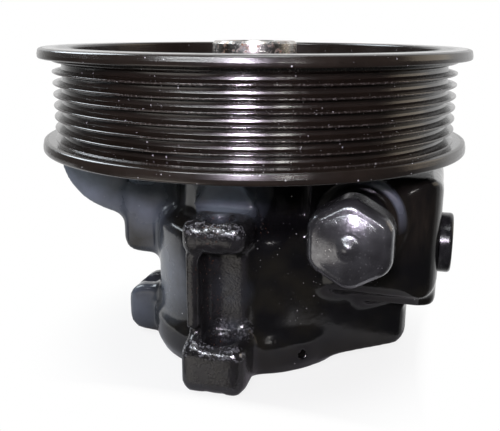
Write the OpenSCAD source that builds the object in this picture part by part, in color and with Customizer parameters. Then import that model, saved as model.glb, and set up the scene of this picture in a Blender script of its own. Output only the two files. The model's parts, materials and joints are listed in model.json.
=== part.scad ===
// Belt-driven power steering pump with a seven-groove pulley.
// Z is the shaft axis, the rear face lies on z = 0 and the pulley is on top.
// The front lugs and the valve plug point along -Y, the side port along +X.
// All sizes are in millimetres.

/* [Pulley] */
// Number of belt grooves
groove_count = 7; // [3:1:9]
// Distance from one groove to the next
groove_pitch = 3.56; // [2.34:0.02:4.7]
// Radius over the rib tips between the grooves
rib_tip_radius = 66.9; // [58:0.1:76]
// Depth of one groove
groove_depth = 3; // [1.5:0.1:3.5]
// Width of the flat on a rib tip
rib_tip_flat = 0.6; // [0.3:0.1:1]
// Width of the flat at the bottom of a groove
groove_floor_flat = 0.8; // [0.3:0.1:1.2]
// How far the flanges stand out beyond the rib tips
flange_rise = 4.15; // [2:0.05:6]
// Thickness of each flange
flange_thickness = 3.65; // [2.5:0.05:5]
// Wall left behind the grooves
pulley_wall = 2.6; // [2:0.1:4]
// Thickness of the web that joins rim and hub
web_thickness = 3.4; // [2.5:0.1:5]
// Radius of the holes in the web that give access to the lug bolts
access_hole_radius = 11; // [6:0.5:14]
// Outer radius of the hub
hub_radius = 14.2; // [12.5:0.1:18]
// How far the hub stands above the upper flange
hub_rise = 1.9; // [0.5:0.1:5]
// Gap between the nose of the housing and the web
pulley_gap = 1.95; // [1:0.05:4]

/* [Shaft] */
// Shaft radius in the pulley hub and the ball bearing
shaft_radius = 8.5; // [7.8:0.1:9]
// Shaft radius under the lip seal
seal_journal_radius = 8; // [7.6:0.1:8.4]
// Shaft radius in the plain bush
bush_journal_radius = 7.5; // [7:0.1:7.9]
// Radius over the spline teeth that carry the rotor
spline_radius = 6.6; // [6:0.1:6.9]
// Radius of the shaft tail
tail_radius = 5; // [4:0.1:5.4]
// Radius of the threaded hole in the shaft nose
puller_hole_radius = 4.25; // [3:0.05:5]
// Depth of the threaded hole in the shaft nose
puller_hole_depth = 22; // [14:1:28]

/* [Pump cartridge] */
// Radius of the housing bore that holds the cartridge
cavity_radius = 27.5; // [26.5:0.1:28.5]
// Height of the retaining ring above the rear face
ring_height = 6.8; // [5:0.1:8]
// Thickness of the end cover
cover_thickness = 8; // [7:0.1:10]
// Height left for the spring behind the pressure plate
spring_height = 5; // [4:0.1:7]
// Thickness of the pressure plate
pressure_plate_thickness = 7; // [6:0.1:9]
// Height of the cam ring
cam_ring_height = 12; // [9:0.5:16]
// Thickness of the thrust plate
thrust_plate_thickness = 5; // [4:0.1:7]
// Smallest inner radius of the cam ring
cam_minor_radius = 20.2; // [18.5:0.1:21]
// Rise of the cam from its smallest to its largest radius
cam_lift = 1.6; // [0.6:0.1:2]
// Thickness of one vane
vane_thickness = 1.8; // [1.2:0.1:2.2]
// Length of one vane along its slot
vane_length = 8.2; // [6:0.1:8.6]
// How far a vane can sink into its slot
vane_travel = 1.5; // [0.5:0.1:1.8]
// Radius of the dowel pins
dowel_radius = 1.55; // [1:0.05:2]

/* [Bearing and seal] */
// Outer radius of the ball bearing
bearing_radius = 20; // [19:0.1:21]
// Width of the ball bearing
bearing_width = 12; // [10:0.5:14]
// Radius of the bearing balls
ball_radius = 3.37; // [2.8:0.05:3.6]
// Number of bearing balls
ball_count = 8; // [6:1:9]
// Outer radius of the lip seal
seal_radius = 15; // [13:0.1:17]
// Width of the lip seal
seal_width = 6; // [5:0.1:8]
// Length of the plain bush
bush_length = 5.5; // [4:0.1:8]
// Wall of the plain bush
bush_wall = 3; // [1.5:0.1:4]

/* [Housing] */
// Radius of the barrel
barrel_radius = 34; // [32.5:0.1:36]
// How far the rear band stands out from the barrel
band_rise = 2; // [0.5:0.1:4]
// Height of the rear band
band_height = 12; // [10:0.5:16]
// Radius of the nose that holds the ball bearing
nose_radius = 27; // [25:0.1:29]
// Radius of the lug bolt holes
bolt_hole_radius = 4.5; // [3:0.1:5]
// Width of the lugs
lug_width = 20; // [16:0.5:24]
// Distance of the front bolt hole from the shaft axis
front_bolt_distance = 41.6; // [40.5:0.1:44]
// Distance of the front lug face from the shaft axis
front_lug_reach = 48.5; // [47:0.1:54]
// Thickness of the lower front lug
front_lower_lug = 16.4; // [10:0.1:20]
// Thickness of the upper front lug
front_upper_lug = 10.2; // [8:0.1:14]
// Distance of the left bolt hole from the shaft axis
left_bolt_distance = 39.6; // [39:0.1:41]
// Distance of the left lug face from the shaft axis
left_lug_reach = 46.5; // [45.5:0.1:52]
// Radius of the foot at its outer end
foot_radius = 9; // [6:0.5:12]
// Distance of the foot end from the shaft axis
foot_reach = 46.9; // [42:0.1:50]
// Reach of the suction neck to the left of the shaft axis
neck_reach = 71.8; // [64:0.1:74]
// Radius of the suction port
suction_port_radius = 7; // [5:0.1:8]

/* [Flow valve] */
// Distance of the valve axis to the right of the shaft axis
valve_axis_x = 40.3; // [39:0.1:43]
// Distance of the valve axis below the top of the valve block
valve_axis_drop = 13.5; // [13:0.1:15]
// Right side of the valve block
block_right = 65.3; // [62:0.1:68]
// Distance of the valve block front from the shaft axis
block_front = 23; // [20:0.1:26]
// Distance of the valve block back from the shaft axis
block_back = 34; // [33:0.5:40]
// Radius of the machined boss around the plug
boss_radius = 14.4; // [13:0.1:15]
// How far the boss stands out of the block
boss_rise = 3; // [1:0.1:5]
// Radius of the spool bore
spool_radius = 8; // [7:0.1:8.5]
// Thread radius of the valve plug
plug_thread_radius = 9.5; // [9:0.1:10.5]
// Hexagon size of the valve plug across its flats
plug_hex_size = 24.6; // [20:0.2:26]
// Length of the hexagon with its dome
plug_hex_length = 13.5; // [9:0.5:16]
// Radius of the pip in the middle of the hexagon's dome
plug_pip_radius = 3.4; // [2:0.1:4]
// How far the pip stands out of the dome
plug_pip_height = 1.3; // [0.5:0.1:1.8]
// Length of the neck between boss and hexagon
plug_neck_length = 14; // [8:0.5:18]
// How far the spool can slide against its spring
spool_travel = 7; // [3:0.5:8]
// Radius of the head of the side plug
side_plug_radius = 10; // [8:0.1:12]
// How far the head of the side plug stands out
side_plug_rise = 4; // [2:0.1:8]

/* [Fits] */
// Gap of running parts
running_clearance = 0.05; // [0.02:0.01:0.08]
// Gap between the cartridge parts and the housing bore
slip_clearance = 0.1; // [0.05:0.01:0.2]

/* [Hidden] */
$fn = 96;

iron_colour = [0.13, 0.13, 0.14];
pulley_colour = [0.2, 0.17, 0.15];
steel_colour = [0.62, 0.63, 0.65];
dark_steel_colour = [0.3, 0.31, 0.33];
bronze_colour = [0.7, 0.55, 0.32];
rubber_colour = [0.06, 0.06, 0.06];
plastic_colour = [0.05, 0.05, 0.06];

vane_count = 10;
spline_teeth = 12;
spline_tooth_height = 1;
cut = 1;

// heights of the stack from the rear face upwards
wire_radius = 1.1;
cover_z = ring_height + wire_radius + running_clearance;
cover_top = cover_z + cover_thickness;
plate_z = cover_top + spring_height;
cam_z = plate_z + pressure_plate_thickness;
thrust_z = cam_z + cam_ring_height;
floor_z = thrust_z + thrust_plate_thickness + running_clearance;
seal_z = floor_z + bush_length;
bearing_z = seal_z + seal_width;
snap_ring_thickness = 1.25;
snap_z = bearing_z + bearing_width;
nose_lip = 1.25;
nose_top = snap_z + snap_ring_thickness + running_clearance + nose_lip;
shoulder_z = floor_z + 4.5;

// pulley
pulley_z = nose_top + pulley_gap;
groove_z = pulley_z + flange_thickness;
upper_land = 0.3;
pulley_top = groove_z + groove_count * groove_pitch + upper_land + flange_thickness;
flange_radius = rib_tip_radius + flange_rise;
bowl_radius = rib_tip_radius - groove_depth - pulley_wall;
hub_top = pulley_top + hub_rise;
hub_z = pulley_z - pulley_gap / 2;
access_hole_count = 4;
access_hole_distance = (hub_radius + bowl_radius) / 2 + 3;

// cartridge
cartridge_radius = cavity_radius - slip_clearance;
rotor_radius = cam_minor_radius - 0.2;
vane_tip = cam_minor_radius - 0.03;
dowel_distance = (cam_minor_radius + cartridge_radius) / 2 + 0.4;
tail_z = plate_z + 1;
snap_recess = 2.5;
rim_groove_width = 2.6;
rim_groove_depth = 2.2;
plate_groove_z = plate_z + 1.4;
cover_groove_z = cover_z + 2.8;
dowel_z = plate_groove_z + rim_groove_width + 0.4;
dowel_end = floor_z + 2.4;

// bearing
pitch_radius = (bearing_radius + shaft_radius) / 2;
race_gap = 2.3;
ball_z = bearing_z + bearing_width / 2;

// casting
band_radius = barrel_radius + band_rise;
block_top = pulley_z - 5.9;
block_bottom = 27.5;
block_left = 22.5;
lip_z = 22.7;
valve_axis_z = block_top - valve_axis_drop;
boss_face = -block_front - boss_rise;
upper_lug_top = floor_z + 11.2;
upper_lug_z = upper_lug_top - front_upper_lug;
left_lug_top = floor_z + 12;
neck_top = block_top + 0.5;

// valve
plug_thread_length = 14;
spool_start = boss_face + plug_thread_length + 0.05;
spool_length = 24.5;
spool_end = spool_start + spool_length;
valve_spring_length = spool_travel + 10;
valve_bore_end = spool_end + valve_spring_length;
side_port_y = -3;
side_port_z = valve_axis_z - 11;
relief_bore_radius = 4.6;
relief_ball_radius = 2.6;
relief_seat_radius = 1.6;
relief_seat_y = spool_start + 7.5;
relief_ball_y = relief_seat_y + sqrt(pow(relief_ball_radius, 2) - pow(relief_seat_radius, 2)) + 0.01;
relief_retainer_thickness = 2;

module rounded_rectangle(left, right, low, high, corner) {
    translate([left + corner, low])
        square([right - left - 2 * corner, high - low]);
    translate([left, low + corner])
        square([right - left, high - low - 2 * corner]);
    for (x = [left + corner, right - corner], y = [low + corner, high - corner])
        translate([x, y])
            circle(corner);
}

// block with rounded edges: plan, front and side view each get their own corner radius
module soft_block(low, high, plan_corner, front_corner, side_corner) {
    intersection() {
        translate([0, 0, low[2]])
            linear_extrude(high[2] - low[2])
                rounded_rectangle(low[0], high[0], low[1], high[1], plan_corner);
        rotate([90, 0, 0])
            translate([0, 0, -high[1]])
                linear_extrude(high[1] - low[1])
                    rounded_rectangle(low[0], high[0], low[2], high[2], front_corner);
        rotate([90, 0, 90])
            translate([0, 0, low[0]])
                linear_extrude(high[0] - low[0])
                    rounded_rectangle(low[1], high[1], low[2], high[2], side_corner);
    }
}

module tube(outer, inner, bottom, height) {
    translate([0, 0, bottom])
        difference() {
            cylinder(r = outer, h = height);
            translate([0, 0, -cut])
                cylinder(r = inner, h = height + 2 * cut);
        }
}

module torus(centre, wire, height) {
    translate([0, 0, height])
        rotate_extrude()
            translate([centre, 0])
                circle(wire, $fn = 32);
}

// lays a part that was drawn along Z on the valve axis, its Z pointing to the back
module on_valve_axis(start) {
    translate([valve_axis_x, start, valve_axis_z])
        rotate([-90, 0, 0])
            children();
}

// wire coil along Z between 0 and the given length
module coil(radius, wire, length, turns) {
    steps = 18;
    sides = 8;
    count = round(turns * steps);
    rise = (length - 2 * wire) / count;
    points = [
        for (i = [0:count], k = [0:sides - 1])
            let (a = 360 * i / steps, b = 360 * k / sides, r = radius + wire * cos(b))
                [r * cos(a), r * sin(a), wire + i * rise + wire * sin(b)]
    ];
    skin = [
        for (i = [0:count - 1], k = [0:sides - 1])
            let (near = i * sides, far = near + sides, next = (k + 1) % sides)
                [near + k, near + next, far + next, far + k]
    ];
    first_end = [for (k = [sides - 1:-1:0]) k];
    last_end = [for (k = [0:sides - 1]) count * sides + k];
    polyhedron(points, concat(skin, [first_end, last_end]), convexity = 10);
}

module rim_profile() {
    half_groove = (groove_pitch - rib_tip_flat) / 2;
    groove_floor = rib_tip_radius - groove_depth;
    upper_flange = 0.88 * flange_thickness;
    flange_corner = 0.42 * flange_thickness;
    difference() {
        union() {
            translate([bowl_radius, pulley_z])
                square([rib_tip_radius - bowl_radius, pulley_top - pulley_z]);
            rounded_rectangle(bowl_radius, flange_radius, pulley_z, groove_z, flange_corner);
            translate([0, pulley_top - upper_flange])
                rounded_rectangle(bowl_radius, flange_radius, 0, upper_flange, flange_corner);
        }
        for (i = [0:groove_count - 1])
            translate([0, groove_z + (i + 0.5) * groove_pitch])
                polygon([
                    [groove_floor, -groove_floor_flat / 2],
                    [rib_tip_radius, -half_groove],
                    [rib_tip_radius + cut, -half_groove],
                    [rib_tip_radius + cut, half_groove],
                    [rib_tip_radius, half_groove],
                    [groove_floor, groove_floor_flat / 2]
                ]);
    }
}

module pulley() {
    fillet = 5;
    color(pulley_colour)
        difference() {
            rotate_extrude() {
                rim_profile();
                translate([hub_radius, pulley_z])
                    square([bowl_radius - hub_radius + cut, web_thickness]);
                difference() {
                    translate([bowl_radius - fillet, pulley_z + cut])
                        square([fillet + cut, fillet + web_thickness - cut]);
                    translate([bowl_radius - fillet, pulley_z + web_thickness + fillet])
                        circle(fillet);
                }
            }
            for (i = [0:access_hole_count - 1])
                rotate([0, 0, 360 * i / access_hole_count])
                    translate([access_hole_distance, 0, pulley_z - cut])
                        cylinder(r = access_hole_radius, h = web_thickness + 2 * cut);
        }
}

module pulley_hub() {
    chamfer = 0.8;
    color(steel_colour)
        rotate_extrude()
            polygon([
                [shaft_radius, hub_z],
                [hub_radius, hub_z],
                [hub_radius, hub_top - chamfer],
                [hub_radius - chamfer, hub_top],
                [shaft_radius + chamfer, hub_top],
                [shaft_radius, hub_top - chamfer]
            ]);
}

module spline(tip, height) {
    tooth_width = 1.6;
    root = tip - spline_tooth_height;
    linear_extrude(height) {
        circle(root);
        for (i = [0:spline_teeth - 1])
            rotate(360 * i / spline_teeth)
                translate([0, -tooth_width / 2])
                    square([tip, tooth_width]);
    }
}

module drive_shaft() {
    end_gap = 0.6;
    chamfer = 0.8;
    top = hub_top - end_gap;
    groove_depth_tail = 0.65;
    color(steel_colour)
        difference() {
            union() {
                rotate_extrude()
                    polygon([
                        [0, tail_z],
                        [tail_radius - chamfer, tail_z],
                        [tail_radius, tail_z + chamfer],
                        [tail_radius, cam_z],
                        [spline_radius - spline_tooth_height, cam_z],
                        [spline_radius - spline_tooth_height, thrust_z - running_clearance],
                        [bush_journal_radius, thrust_z - running_clearance],
                        [bush_journal_radius, seal_z],
                        [seal_journal_radius, seal_z],
                        [seal_journal_radius, bearing_z],
                        [shaft_radius, bearing_z],
                        [shaft_radius, top - chamfer],
                        [shaft_radius - chamfer, top],
                        [0, top]
                    ]);
                translate([0, 0, cam_z + running_clearance])
                    spline(spline_radius, cam_ring_height - 2 * running_clearance);
            }
            tube(tail_radius + cut, tail_radius - groove_depth_tail, cam_z - 1.35, 1.3);
            translate([0, 0, top - puller_hole_depth])
                cylinder(r = puller_hole_radius, h = puller_hole_depth + cut);
        }
}

module barrel_profile() {
    rear_corner = 6;
    shoulder_corner = 5;
    nose_chamfer = 1.5;
    band_slope = 3;
    square([band_radius - rear_corner, band_height]);
    translate([0, rear_corner])
        square([band_radius, band_height - rear_corner]);
    translate([band_radius - rear_corner, rear_corner])
        circle(rear_corner);
    polygon([
        [0, band_height],
        [band_radius, band_height],
        [barrel_radius, band_height + band_slope],
        [0, band_height + band_slope]
    ]);
    square([barrel_radius, shoulder_z - shoulder_corner]);
    square([barrel_radius - shoulder_corner, shoulder_z]);
    translate([barrel_radius - shoulder_corner, shoulder_z - shoulder_corner])
        circle(shoulder_corner);
    polygon([
        [0, shoulder_z],
        [nose_radius, shoulder_z],
        [nose_radius, nose_top - nose_chamfer],
        [nose_radius - nose_chamfer, nose_top],
        [0, nose_top]
    ]);
}

module foot() {
    side = 4;
    lower_corner = 4;
    fillet = 4;
    fillet_margin = 3;
    foot_z = 3.1;
    foot_end = foot_reach + foot_radius;
    overlap = 6;
    heading = atan2(side, foot_reach);
    spread = acos((barrel_radius - foot_radius) / norm([foot_reach, side]));
    near = [for (a = [heading - spread, heading + spread]) barrel_radius * [cos(a), sin(a)]];
    far = [
        for (a = [heading - spread, heading + spread])
            [foot_reach + foot_radius * cos(a), side + foot_radius * sin(a)]
    ];
    intersection() {
        translate([0, 0, foot_z])
            linear_extrude(block_bottom + overlap - foot_z) {
                polygon([[0, 0], near[0], far[0], far[1], near[1]]);
                translate([foot_reach, side])
                    circle(foot_radius);
            }
        rotate([90, 0, 0])
            translate([0, 0, -barrel_radius])
                linear_extrude(2 * barrel_radius)
                    rounded_rectangle(-lower_corner, foot_end, foot_z, 2 * block_bottom, lower_corner);
    }
    translate([foot_end, side + foot_radius - fillet_margin, lip_z - fillet])
        rotate([90, 0, 0])
            linear_extrude(2 * (foot_radius - fillet_margin))
                difference() {
                    translate([-fillet, 0])
                        square([2 * fillet, fillet + 1]);
                    translate([fillet, 0])
                        circle(fillet);
                }
}

module valve_block() {
    plan_corner = 12;
    corner = 5;
    lip_left = 30;
    lip_front = 9 - block_front;
    lip_back = block_back - 4;
    boss_root = 12;
    soft_block(
        [block_left, -block_front, block_bottom], [block_right, block_back, block_top],
        plan_corner, corner, corner
    );
    soft_block([lip_left, lip_front, lip_z], [block_right - 0.1, lip_back, valve_axis_z], 6, 1, 1);
    on_valve_axis(boss_face)
        cylinder(r = boss_radius, h = boss_rise + boss_root);
}

module front_lugs() {
    half = lug_width / 2;
    corner = 3;
    web_width = 4;
    web_setback = 1.5;
    root = 20;
    pad_face = barrel_radius + 1.5;
    lower_left = -half - 1.2;
    lower_right = half - 0.5;
    lower_front = -front_lug_reach - 1;
    upper_left = -half - 0.6;
    upper_right = half - 0.6;
    soft_block([lower_left, lower_front, 0], [lower_right, -root, front_lower_lug], corner, corner, corner);
    soft_block(
        [upper_left, -front_lug_reach, upper_lug_z], [upper_right, -root, upper_lug_top],
        corner, corner, corner
    );
    translate([-half + 0.5, web_setback - front_lug_reach, corner])
        cube([web_width, front_lug_reach - root, upper_lug_z]);
    translate([-half + corner, -pad_face, corner])
        cube([lug_width - 2 * corner, pad_face - root, upper_lug_z]);
    gusset();
}

module gusset() {
    centre = -1.9;
    low_half = 10.8;
    slope = 0.68;
    height = nose_top - nose_lip - upper_lug_top;
    top_half = low_half - slope * height;
    front = 30.5;
    root = 15;
    translate([centre, 0, upper_lug_top])
        rotate([90, 0, 0])
            translate([0, 0, root])
                linear_extrude(front - root)
                    polygon([[-low_half, 0], [low_half, 0], [top_half, height], [-top_half, height]]);
}

module left_lugs() {
    half = lug_width / 2;
    root = -20;
    corner = 3;
    lower_round = 7;
    upper_round = 7;
    upper_overhang = 1;
    lower_low = 0.3;
    lower_edge = 1;
    lower_high = 18.6;
    upper_low = left_lug_top - 26;
    upper_left = -left_lug_reach - upper_overhang;
    soft_block([-left_lug_reach, -half, lower_low], [root, half, lower_high], corner, lower_round, lower_edge);
    soft_block([upper_left, -half, upper_low], [root, half, left_lug_top], corner, upper_round, corner);
    rotate([90, 0, 0])
        translate([0, 0, 2 - half])
            linear_extrude(lug_width - 4)
                polygon([
                    [3.5 - left_lug_reach, lower_low + 0.6],
                    [2 - band_radius, 0],
                    [root, 0],
                    [root, lower_high - corner]
                ]);
}

module suction_neck() {
    belly = 26;
    drop = 21.3;
    rim = 1;
    front = -9;
    back = 25;
    root = -15;
    corner = 2.5;
    steps = 16;
    arm_left = -44;
    arm_front = 8;
    arm_corner = 3;
    curve = [
        for (i = [0:steps])
            let (a = 90 * i / steps)
                [belly * (1 - cos(a)) - neck_reach, neck_top - rim - drop * sin(a)]
    ];
    root_edge = [[root, neck_top - rim - drop], [root, neck_top]];
    intersection() {
        rotate([90, 0, 0])
            translate([0, 0, -back])
                linear_extrude(back - front)
                    polygon(concat([[-neck_reach, neck_top]], curve, root_edge));
        linear_extrude(2 * neck_top)
            rounded_rectangle(-neck_reach, 0, front, back, corner);
    }
    soft_block(
        [arm_left, arm_front, shoulder_z - 14], [root, back - 1, neck_top],
        arm_corner, arm_corner, arm_corner
    );
}

module housing_bores() {
    ring_groove = wire_radius + 0.1;
    suction_groove_depth = 2;
    suction_groove_width = 7.5;
    snap_groove_depth = 1.2;
    translate([0, 0, -cut])
        cylinder(r = cavity_radius, h = floor_z + cut);
    tube(cavity_radius + wire_radius, cavity_radius - cut, ring_height - ring_groove, 2 * ring_groove);
    translate([0, 0, floor_z - suction_groove_width - 1.5])
        tube(cavity_radius + suction_groove_depth, cavity_radius - cut, 0, suction_groove_width);
    translate([0, 0, floor_z - cut])
        cylinder(r = bush_journal_radius + bush_wall, h = bush_length + 2 * cut);
    translate([0, 0, seal_z])
        cylinder(r = seal_radius, h = seal_width + cut);
    translate([0, 0, bearing_z])
        cylinder(r = bearing_radius, h = nose_top - bearing_z + cut);
    translate([0, 0, snap_z])
        cylinder(r = bearing_radius + snap_groove_depth, h = snap_ring_thickness + running_clearance);
    for (side = [-1, 1])
        translate([side * dowel_distance, 0, floor_z - cut])
            cylinder(r = dowel_radius + running_clearance, h = dowel_end + 0.2 - floor_z + cut);
}

module casting_holes() {
    punch_hole_radius = 1.5;
    spot_face_radius = 9.5;
    punch_hole_heading = -48;
    translate([0, -front_bolt_distance, -cut])
        cylinder(r = bolt_hole_radius, h = upper_lug_top + 2 * cut);
    translate([-left_bolt_distance, 0, -cut])
        cylinder(r = bolt_hole_radius, h = left_lug_top + 3 * cut);
    translate([-left_bolt_distance, 0, left_lug_top])
        cylinder(r = spot_face_radius, h = neck_top);
    rotate([0, 0, punch_hole_heading])
        translate([cavity_radius, 0, ring_height])
            rotate([0, 90, 0])
                cylinder(r = punch_hole_radius, h = band_radius);
}

module suction_passage() {
    port_x = -50;
    port_z = neck_top - 8.5;
    port_back = 25;
    port_depth = 14;
    inner = [-24, port_back - port_depth + 3, floor_z - 5];
    outer = [port_x, port_back - port_depth + 3, port_z];
    run = inner - outer;
    translate([port_x, port_back + cut, port_z])
        rotate([90, 0, 0])
            cylinder(r = suction_port_radius, h = port_depth + cut);
    translate(outer)
        rotate([0, 90 + atan2(-run[2], run[0]), 0])
            cylinder(r = 3.5, h = norm(run));
}

module valve_passages() {
    gallery_x = 41;
    gallery_y = 10.5;
    gallery_radius = 3;
    gallery_z = cover_top + 2.5;
    on_valve_axis(boss_face - cut)
        cylinder(r = plug_thread_radius, h = plug_thread_length + cut);
    on_valve_axis(boss_face)
        cylinder(r = spool_radius, h = valve_bore_end - boss_face);
    translate([block_right + cut, side_port_y, side_port_z])
        rotate([0, -90, 0])
            cylinder(r = side_plug_radius - 3, h = block_right + cut - valve_axis_x);
    translate([gallery_x, gallery_y, gallery_z])
        cylinder(r = gallery_radius, h = valve_axis_z - gallery_z);
    translate([cavity_radius - 5, gallery_y, gallery_z])
        rotate([0, 90, 0])
            cylinder(r = gallery_radius - 0.5, h = gallery_x - cavity_radius + 5);
}

module pump_housing() {
    color(iron_colour)
        difference() {
            union() {
                rotate_extrude()
                    barrel_profile();
                foot();
                valve_block();
                front_lugs();
                left_lugs();
                suction_neck();
            }
            housing_bores();
            casting_holes();
            suction_passage();
            valve_passages();
        }
}

module race_groove() {
    translate([0, 0, ball_z])
        rotate_extrude()
            translate([pitch_radius, 0])
                circle(ball_radius + running_clearance);
}

module bearing_outer_ring() {
    color(steel_colour)
        difference() {
            tube(bearing_radius, pitch_radius + race_gap, bearing_z, bearing_width);
            race_groove();
        }
}

module bearing_inner_ring() {
    color(steel_colour)
        difference() {
            tube(pitch_radius - race_gap, shaft_radius, bearing_z, bearing_width);
            race_groove();
        }
}

module bearing_balls() {
    color(steel_colour)
        for (i = [0:ball_count - 1])
            rotate([0, 0, 360 * i / ball_count])
                translate([pitch_radius, 0, ball_z])
                    sphere(ball_radius);
}

module bearing_cage() {
    half_wall = 0.95;
    half_height = ball_radius + 0.4;
    color(bronze_colour)
        difference() {
            tube(pitch_radius + half_wall, pitch_radius - half_wall, ball_z - half_height, 2 * half_height);
            for (i = [0:ball_count - 1])
                rotate([0, 0, 360 * i / ball_count])
                    translate([pitch_radius, 0, ball_z])
                        sphere(ball_radius + running_clearance);
        }
}

module bearing_shields() {
    shield = 0.5;
    color(dark_steel_colour)
        for (z = [bearing_z + shield, bearing_z + bearing_width - 2 * shield])
            tube(pitch_radius + race_gap, pitch_radius - race_gap + 0.4, z, shield);
}

module bearing_snap_ring() {
    opening = 40;
    color(dark_steel_colour)
        translate([0, 0, snap_z + running_clearance / 2])
            rotate([0, 0, opening / 2])
                rotate_extrude(angle = 360 - opening)
                    translate([bearing_radius - 2, 0])
                        square([3.1, snap_ring_thickness]);
}

module shaft_seal() {
    case_wall = 1.5;
    lip = seal_journal_radius + running_clearance;
    color(rubber_colour)
        translate([0, 0, seal_z])
            rotate_extrude()
                polygon([
                    [seal_radius, 0],
                    [seal_radius, seal_width],
                    [lip + 1.6, seal_width],
                    [lip + 1.2, seal_width - 2.6],
                    [lip, seal_width - 3.8],
                    [lip, seal_width - 4.2],
                    [lip + 1.4, seal_width - 4.8],
                    [lip + 1.6, seal_width - 4.2],
                    [lip + 2.6, seal_width - 1.6],
                    [seal_radius - case_wall, seal_width - 1.6],
                    [seal_radius - case_wall, 0]
                ]);
}

module seal_garter_spring() {
    wire = 0.55;
    color(steel_colour)
        torus(seal_journal_radius + running_clearance + 1.7 + 2 * wire, wire, seal_z + seal_width - 4.4);
}

module shaft_bush() {
    color(bronze_colour)
        translate([0, 0, floor_z])
            tube(bush_journal_radius + bush_wall, bush_journal_radius + running_clearance, 0, bush_length);
}

// two kidney ports through a plate, the first one centred on the given heading
module kidney_ports(heading, bottom, height) {
    sweep = 44;
    width = 4;
    for (side = [0, 180])
        rotate([0, 0, heading + side - sweep / 2])
            translate([0, 0, bottom - cut])
                rotate_extrude(angle = sweep)
                    translate([cam_minor_radius - width, 0])
                        square([width, height + 2 * cut]);
}

module dowel_holes(bottom, height) {
    for (side = [-1, 1])
        translate([side * dowel_distance, 0, bottom - cut])
            cylinder(r = dowel_radius + running_clearance, h = height + 2 * cut);
}

module thrust_plate() {
    color(dark_steel_colour)
        difference() {
            tube(cartridge_radius, bush_journal_radius + 0.6, thrust_z, thrust_plate_thickness);
            kidney_ports(45, thrust_z, thrust_plate_thickness);
            kidney_ports(135, thrust_z, thrust_plate_thickness);
            dowel_holes(thrust_z, thrust_plate_thickness);
        }
}

module cam_ring() {
    steps = 96;
    contour = [
        for (i = [0:steps - 1])
            let (a = 360 * i / steps, r = cam_minor_radius + cam_lift * (1 - cos(2 * a)) / 2)
                [r * cos(a), r * sin(a)]
    ];
    color(dark_steel_colour)
        difference() {
            translate([0, 0, cam_z])
                cylinder(r = cartridge_radius, h = cam_ring_height);
            translate([0, 0, cam_z - cut])
                linear_extrude(cam_ring_height + 2 * cut)
                    polygon(contour);
            dowel_holes(cam_z, cam_ring_height);
        }
}

module rotor() {
    slot_root = vane_tip - vane_length - vane_travel - 0.1;
    slot_clearance = 0.02;
    slot_width = vane_thickness + 2 * slot_clearance;
    height = cam_ring_height - 2 * running_clearance;
    color(steel_colour)
        translate([0, 0, cam_z + running_clearance])
            difference() {
                cylinder(r = rotor_radius, h = height);
                translate([0, 0, -cut])
                    spline(spline_radius + slot_clearance, height + 2 * cut);
                for (i = [0:vane_count - 1])
                    rotate([0, 0, 360 * i / vane_count])
                        translate([slot_root, -slot_width / 2, -cut])
                            cube([rotor_radius, slot_width, height + 2 * cut]);
            }
}

module vane(index) {
    height = cam_ring_height - 4 * running_clearance;
    tip_radius = vane_thickness / 2;
    color(steel_colour)
        rotate([0, 0, 360 * (index - 1) / vane_count])
            translate([vane_tip, 0, cam_z + 2 * running_clearance]) {
                translate([-vane_length, -vane_thickness / 2, 0])
                    cube([vane_length - tip_radius, vane_thickness, height]);
                translate([-tip_radius, 0, 0])
                    cylinder(r = tip_radius, h = height, $fn = 32);
            }
}

module rotor_snap_ring() {
    opening = 50;
    inner = tail_radius - 0.6;
    color(dark_steel_colour)
        translate([0, 0, cam_z - 1.3])
            rotate([0, 0, opening / 2])
                rotate_extrude(angle = 360 - opening)
                    translate([inner, 0])
                        square([2.6, 1.2]);
}

module dowel_pins() {
    color(steel_colour)
        for (side = [-1, 1])
            translate([side * dowel_distance, 0, dowel_z])
                cylinder(r = dowel_radius, h = dowel_end - dowel_z);
}

// round plate with a groove for a sealing ring in its rim
module grooved_plate(bottom, height, groove_bottom) {
    difference() {
        translate([0, 0, bottom])
            cylinder(r = cartridge_radius, h = height);
        tube(cartridge_radius + cut, cartridge_radius - rim_groove_depth, groove_bottom, rim_groove_width);
    }
}

module rim_seal(groove_bottom) {
    wire = 1.1;
    color(rubber_colour)
        torus(cavity_radius - 0.02 - wire, wire, groove_bottom + rim_groove_width / 2);
}

module pressure_plate() {
    hole = tail_radius + running_clearance;
    color(dark_steel_colour)
        difference() {
            grooved_plate(plate_z, pressure_plate_thickness, plate_groove_z);
            translate([0, 0, plate_z - cut])
                cylinder(r = hole, h = pressure_plate_thickness + 2 * cut);
            translate([0, 0, cam_z - snap_recess])
                cylinder(r = tail_radius + 4, h = snap_recess + cut);
            kidney_ports(135, plate_z, pressure_plate_thickness);
            dowel_holes(dowel_z - 0.1 + cut, pressure_plate_thickness);
        }
}

module pressure_plate_o_ring() {
    rim_seal(plate_groove_z);
}

module pressure_plate_spring() {
    coil_radius = 13;
    wire = 1;
    turns = 2;
    color(steel_colour)
        translate([0, 0, cover_top])
            coil(coil_radius, wire, spring_height, turns);
}

module end_cover() {
    pad_radius = cavity_radius - 8;
    color(dark_steel_colour) {
        grooved_plate(cover_z, cover_thickness, cover_groove_z);
        cylinder(r = pad_radius, h = cover_z + cut);
    }
}

module end_cover_o_ring() {
    rim_seal(cover_groove_z);
}

module end_cover_retaining_ring() {
    opening = 16;
    color(steel_colour)
        translate([0, 0, ring_height])
            rotate([0, 0, opening / 2 + 90])
                rotate_extrude(angle = 360 - opening)
                    translate([cavity_radius - 0.2, 0])
                        circle(wire_radius, $fn = 32);
}

// hexagon with rounded corners, its flats facing left and right
module soft_hexagon(size, corner, height) {
    reach = size / sqrt(3) - corner * 2 / sqrt(3);
    for (i = [0:5])
        rotate([0, 0, 60 * i + 30])
            translate([reach, 0, 0])
                cylinder(r = corner, h = height, $fn = 32);
}

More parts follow.
